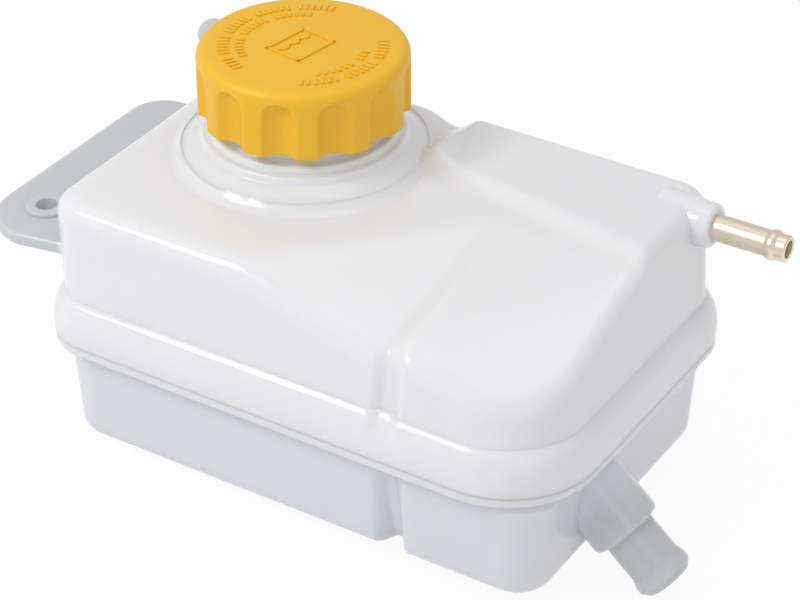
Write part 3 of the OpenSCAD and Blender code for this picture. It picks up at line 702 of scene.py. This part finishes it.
def build_lower_shell():
    long = COLLAR_LEN + OUTLET_LEN
    profile = rounded([(0, -6, 0), (OUTLET_COLLAR_R, -6, 0), (OUTLET_COLLAR_R, COLLAR_LEN, 2.4),
                       (OUTLET_R, COLLAR_LEN + 0.4, 0.8), (OUTLET_R, long - 6.5, 0.8),
                       (OUTLET_R + 0.8, long - 4.2, 0.8), (OUTLET_R + 0.8, long - 2.2, 0.8),
                       (OUTLET_R - 1, long, 0.7), (0, long, 0)])
    piece = combined(
        "lower_shell_skin", lower_skin(), [placed(turned(profile, 96), along_outlet())],
        [placed(rod(OUTLET_BORE_R, -14, long + 3, 64), along_outlet())], MILKY)
    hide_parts("lower_shell")


# Vent pipe


def build_vent_pipe():
    long = VENT_END_X - VENT_START_X
    inside = BOSS_END_X - VENT_START_X
    profile = rounded([(VENT_BORE_R, 0, 0), (ANCHOR_R, 0, 0.2), (ANCHOR_R, inside - 0.1, 0.1),
                       (VENT_R, inside, 0), (VENT_R, long - 6.5, 0.8), (VENT_R + 0.6, long - 5.2, 0.5),
                       (VENT_R + 0.6, long - 4.2, 0.5), (VENT_R, long - 3, 0.8),
                       (VENT_R, long, 0.5), (VENT_BORE_R, long, 0.3)])
    pipe = finished(placed(turned(profile, 80), along_vent()), "steel_vent_pipe", ZINC)
    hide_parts("vent_pipe")


# Cap


def flute_wall(angle, z):
    """Radius of the fluted skirt at this angle and height, with softened flute edges."""
    pitch = math.radians(360 / FLUTES)
    a = math.radians(angle - FLUTE_PHASE)
    a = (a + pitch / 2) % pitch - pitch / 2
    centre = CAP_R + FLUTE_R - FLUTE_DEPTH
    over = max(0.0, z - (FLUTE_TOP_Z - FLUTE_R))
    reach = FLUTE_R ** 2 - over ** 2 - (centre * math.sin(a)) ** 2
    if over >= FLUTE_R or reach <= -9:
        return CAP_R
    wall = centre * math.cos(a) - math.copysign(math.sqrt(abs(reach)), reach)
    return CAP_R - soft(CAP_R - wall, 0.5)


def build_cap():
    shoulder = [(CAP_R - 3.2 + 3.2 * math.cos(math.radians(a)),
                 CAP_TOP_Z - 3.2 + 3.2 * math.sin(math.radians(a))) for a in range(0, 91, 9)]
    skirt = [(CAP_R, z) for z in spread(CAP_Z + 0.8, CAP_TOP_Z - 3.2, 34)]
    inside = rounded([(0, CAP_UNDER_Z, 0), (HEAD_R + RUN_GAP, CAP_UNDER_Z, 0),
                      (HEAD_R + RUN_GAP, FLANGE_TOP_Z + RUN_GAP + LIP_T, 0),
                      (STEM_R + RUN_GAP, FLANGE_TOP_Z + RUN_GAP + LIP_T, 0),
                      (STEM_R + RUN_GAP, FLANGE_TOP_Z + RUN_GAP, 0),
                      (HEAD_R + 2.8, FLANGE_TOP_Z + RUN_GAP, 0), (HEAD_R + 2.8, CAP_UNDER_Z, 0.6),
                      (CAP_IN_R, CAP_UNDER_Z, 1.0), (CAP_IN_R, CAP_Z, 0.5),
                      (CAP_R - 0.5, CAP_Z, 0), (CAP_R - 0.15, CAP_Z + 0.25, 0)])
    top = [(r, CAP_TOP_Z) for r in (24, 16, 8, 0)]
    bm = turned(inside + skirt + shoulder + top, 360, closed=False)
    for v in bm.verts:
        r, z = math.hypot(v.co.x, v.co.y) / MM, v.co.z / MM
        if r > CAP_IN_R + 0.9 and z < CAP_TOP_Z - 0.5:
            angle = math.degrees(math.atan2(v.co.y, v.co.x))
            limit = flute_wall(angle, z)
            if r > limit - (CAP_R - r if z < CAP_Z + 0.5 else 0):
                now = limit - (CAP_R - r if z < CAP_Z + 0.5 else 0)
                v.co.x, v.co.y = v.co.x * now / r, v.co.y * now / r
    cap = finished(bm, "screw_cap_shell", YELLOW, "screw_cap", sharp=50)
    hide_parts("cap_shell")


def build_cap_marks():
    """Raised marks on the cap's top: rows of plain bars, and a frame with a line of waves."""
    bm = bmesh.new()
    frame_turn = Matrix.Rotation(math.radians(FRAME_TURN), 4, "Z")

    def bar(place, turn, long, wide):
        size = Matrix.Diagonal((long * MM, wide * MM, (MARK_H + 0.1) * MM, 1))
        bmesh.ops.create_cube(bm, size=1, matrix=place @ Matrix.Rotation(math.radians(turn), 4, "Z") @ size)

    height = CAP_TOP_Z + MARK_H / 2 - 0.05
    # Two rows on the left, two on the right: radius, first and last angle, length of a bar
    for r, first, last, long in ((23.6, 102, 250, 3.2), (18.8, 118, 235, 2.3),
                                 (23.6, -58, 36, 3.2), (19.0, -44, 16, 2.3)):
        count = round(math.radians(last - first) * r / BAR_PITCH)
        for k in range(count):
            if k % WORD != WORD - 1:
                a = first + (last - first) * k / (count - 1)
                x, y = r * math.cos(math.radians(a)), r * math.sin(math.radians(a))
                bar(at(x, y, height), a, long, BAR_W)
    middle = at(-0.3, -0.9, height) @ frame_turn
    for side in (-1, 1):
        bar(middle @ at(side * FRAME_W / 2, 0, 0), 90, FRAME_L + BAR_W, BAR_W)
        bar(middle @ at(0, side * FRAME_L / 2, 0), 0, FRAME_W + BAR_W, BAR_W)
    for k in range(6):
        bar(middle @ at(-2.0, (k - 2.5) * 2.2, 0), 90 + (35 if k % 2 else -35), 2.6, BAR_W * 0.8)
    marks = finished(bm, "cap_raised_marks", YELLOW, "screw_cap")


build_upper_shell()
build_neck_thread()
build_lower_shell()
build_vent_pipe()
build_cap()
build_cap_marks()

CARRIED = {"cap_insert": NYLON, "cap_gasket": RUBBER, "insert_o_ring": RUBBER,
           "pressure_plate": STAINLESS, "pressure_seal": RUBBER, "pressure_spring": STAINLESS,
           "vacuum_valve": STAINLESS, "vacuum_clip": STAINLESS, "vacuum_spring": STAINLESS}
for node, material in CARRIED.items():
    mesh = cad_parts[node].data
    mesh.materials.clear()
    mesh.materials.append(material)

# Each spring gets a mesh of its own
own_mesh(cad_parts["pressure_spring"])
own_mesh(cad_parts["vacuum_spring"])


# Floor, light and camera


def build_floor():
    """White floor under the part's lowest edges; the camera sees it white, with a faint shadow."""
    material, tree = new_material("studio_floor")
    path = add(tree, "ShaderNodeLightPath")
    seen = add(tree, "ShaderNodeMath", {0: path.outputs["Is Camera Ray"],
                                        1: path.outputs["Is Glossy Ray"]}, operation="MAXIMUM")
    seen = add(tree, "ShaderNodeMath", {0: seen.outputs[0], 1: path.outputs["Is Transmission Ray"]},
               operation="MAXIMUM")
    paper = add(tree, "ShaderNodeBsdfDiffuse", {"Color": (0.88, 0.88, 0.88, 1)})
    glow = add(tree, "ShaderNodeEmission", {"Color": (1, 1, 1, 1), "Strength": seen.outputs[0]})
    blend = add(tree, "ShaderNodeMath", {0: seen.outputs[0], 1: 0.93}, operation="MULTIPLY")
    mixed = add(tree, "ShaderNodeMixShader", {0: blend.outputs[0], 1: paper.outputs[0],
                                              2: glow.outputs[0]})
    add(tree, "ShaderNodeOutputMaterial", {"Surface": mixed.outputs[0]})
    bm = bmesh.new()
    bmesh.ops.create_grid(bm, x_segments=2, y_segments=2, size=3.0)
    # The part rests on its left bottom edge and on the tip of its outlet
    edge_x = LEFT_X + LOWER_INSET + DRAFT + BOTTOM_EDGE_R
    slope = math.atan2(-cad_box[0][2] / MM, OUTLET_TIP_X - edge_x)
    placed(bm, at(edge_x, 0, -0.05) @ Matrix.Rotation(slope, 4, "Y"))
    floor = finished(bm, "studio_floor", material, body=None)


def build_world():
    world = bpy.data.worlds.new("studio")
    bpy.context.scene.world = world
    world.use_nodes = True
    tree = world.node_tree
    tree.nodes.clear()
    path = add(tree, "ShaderNodeLightPath")
    seen = add(tree, "ShaderNodeMath", {0: path.outputs["Is Camera Ray"],
                                        1: path.outputs["Is Transmission Ray"]}, operation="MAXIMUM")
    strength = add(tree, "ShaderNodeMapRange", {"Value": seen.outputs[0], "To Min": 0.62,
                                                "To Max": 1.0})
    glow = add(tree, "ShaderNodeBackground", {"Color": (1, 1, 1, 1),
                                              "Strength": strength.outputs["Result"]})
    add(tree, "ShaderNodeOutputWorld", {"Surface": glow.outputs[0]})


def softbox(name, place, target, width, height, power, colour="FFFFFF"):
    light = bpy.data.lights.new(name, "AREA")
    light.shape, light.size, light.size_y = "RECTANGLE", width, height
    light.energy, light.color = power, linear(colour)[:3]
    lamp = bpy.data.objects.new(name, light)
    bpy.context.scene.collection.objects.link(lamp)
    lamp.location = place
    lamp.rotation_euler = (Vector(target) - Vector(place)).to_track_quat("-Z", "Y").to_euler()
    return lamp


def build_camera():
    right, up = Vector((0.8480, 0.5299, 0.0)), Vector((-0.2917, 0.4668, 0.8348))
    back = Vector((0.4424, -0.7080, 0.5505))
    data = bpy.data.cameras.new("camera")
    data.lens, data.sensor_width, data.sensor_fit = 120.6, 36.0, "HORIZONTAL"
    data.clip_start, data.clip_end = 0.05, 20
    camera = bpy.data.objects.new("camera", data)
    bpy.context.scene.collection.objects.link(camera)
    turn = Matrix((right, up, back)).transposed().to_4x4()
    camera.matrix_world = Matrix.Translation((0.3938, -0.5766, 0.4877)) @ turn
    bpy.context.scene.camera = camera


build_floor()
build_world()
softbox("key", (-0.42, -0.55, 0.72), (0.03, 0, 0.06), 0.16, 0.3, 1.9)
softbox("second_key", (-0.20, -0.62, 0.76), (0.03, 0, 0.06), 0.12, 0.3, 1.0)
softbox("top", (0.1, 0.1, 1.1), (0.03, 0, 0.06), 0.7, 0.5, 1.1)
softbox("fill", (0.9, -0.6, 0.35), (0.03, 0, 0.06), 0.4, 0.5, 0.5)
build_camera()
bpy.context.scene.view_settings.view_transform = "Standard"
